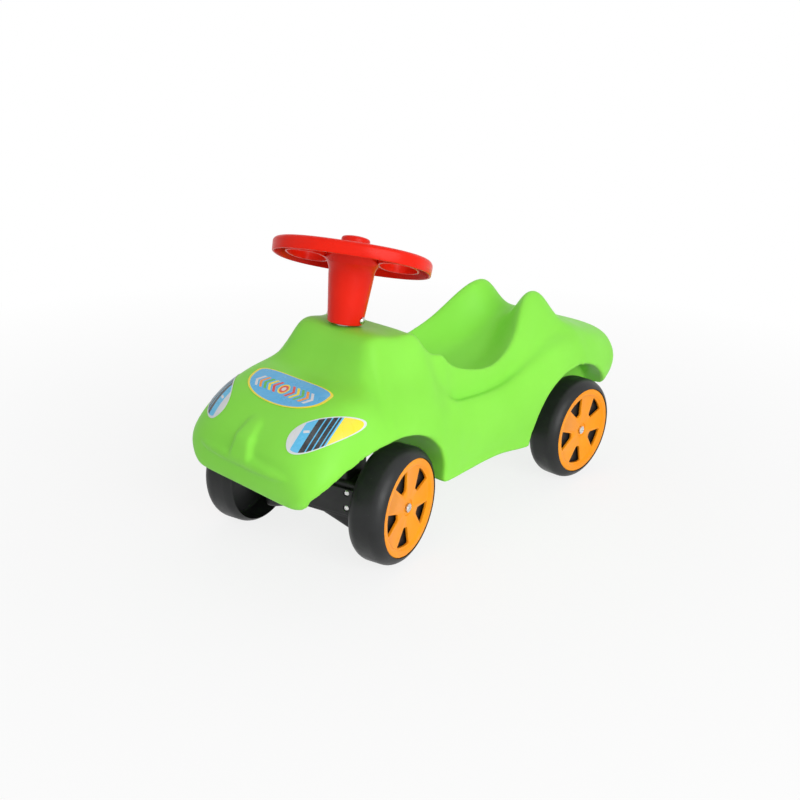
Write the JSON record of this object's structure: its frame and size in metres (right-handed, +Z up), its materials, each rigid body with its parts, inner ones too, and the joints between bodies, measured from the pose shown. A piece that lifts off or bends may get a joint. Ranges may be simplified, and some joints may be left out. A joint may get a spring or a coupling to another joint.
{
  "type": "kids ride-on car",
  "caption": "Low ride-on car for a small child: hollow moulded body with a seat hollow, raked steering wheel that turns the front axle, free wheels and a press horn.",
  "frame": {"origin": "on the floor under the middle of the overall box, in the car's middle plane", "axes": "+Z up, the nose faces -Y, the car's own left side is +X; the front wheels rest turned 13.4 degrees to the left"},
  "size_m": [0.2679, 0.6154, 0.3717],
  "materials": {
    "body_green": "satin blow-moulded polyethylene with a fine skin",
    "steering_red": "semi-gloss moulded",
    "hub_orange": "semi-gloss moulded",
    "tyre_black": "satin moulded, lightly scuffed",
    "black_plastic": "satin moulded",
    "soft_black": "soft matte",
    "bush_white": "natural nylon",
    "steel": "zinc plated",
    "printed_film": "printed film, semi-gloss"
  },
  "bodies": {
    "root": {"body_shell": "body_green", "shaft_upper_bush": "bush_white", "shaft_lower_bush": "bush_white", "rear_axle": "steel", "rear_left_bush": "bush_white", "rear_right_bush": "bush_white", "rear_left_spacer": "black_plastic", "rear_right_spacer": "black_plastic", "rear_left_axle_cap": "steel", "rear_right_axle_cap": "steel", "lamp_decal_left": "printed_film", "lamp_decal_right": "printed_film", "hood_decal": "printed_film"},
    "steering": {"steering_shaft": "steel", "axle_carrier": "black_plastic", "carrier_clamp": "black_plastic", "carrier_screw_1": "steel", "carrier_screw_2": "steel", "carrier_screw_3": "steel", "carrier_screw_4": "steel", "carrier_pin": "steel", "thrust_washer": "steel", "shaft_washer": "steel", "shaft_clip": "steel", "front_axle": "steel", "front_left_spacer": "black_plastic", "front_right_spacer": "black_plastic", "front_left_axle_cap": "steel", "front_right_axle_cap": "steel", "steering_wheel": "steering_red", "column_bolt": "steel", "column_nut": "steel", "horn_squeaker": "soft_black"},
    "horn": {"horn_button": "steering_red"},
    "front_left_wheel": {"front_left_tyre": "tyre_black", "front_left_hubcap": "hub_orange"},
    "front_right_wheel": {"front_right_tyre": "tyre_black", "front_right_hubcap": "hub_orange"},
    "rear_left_wheel": {"rear_left_tyre": "tyre_black", "rear_left_hubcap": "hub_orange"},
    "rear_right_wheel": {"rear_right_tyre": "tyre_black", "rear_right_hubcap": "hub_orange"}
  },
  "joints": [
    {"name": "steer", "type": "hinge", "parent": "root", "child": "steering", "pos_m": [0, -0.1777, 0.07], "axis": [0, 0.1564, 0.9877], "range_deg": [-29.4, 2.6]},
    {"name": "horn_press", "type": "slide", "parent": "steering", "child": "horn", "axis": [0.1377, -0.3302, -0.9338], "range_m": [0, 0.003], "stiffness_N_per_m": 600},
    {"name": "front_left_spin", "type": "hinge", "parent": "steering", "child": "front_left_wheel", "pos_m": [0.10012, -0.16474, 0.07], "axis": [0.9728, 0.2317, 0], "continuous": true},
    {"name": "front_right_spin", "type": "hinge", "parent": "steering", "child": "front_right_wheel", "pos_m": [-0.09521, -0.21128, 0.07], "axis": [0.9728, 0.2317, 0], "continuous": true},
    {"name": "rear_left_spin", "type": "hinge", "parent": "root", "child": "rear_left_wheel", "pos_m": [0.1026, 0.1886, 0.07], "axis": [1, 0, 0], "continuous": true},
    {"name": "rear_right_spin", "type": "hinge", "parent": "root", "child": "rear_right_wheel", "pos_m": [-0.1026, 0.1886, 0.07], "axis": [1, 0, 0], "continuous": true}
  ]
}
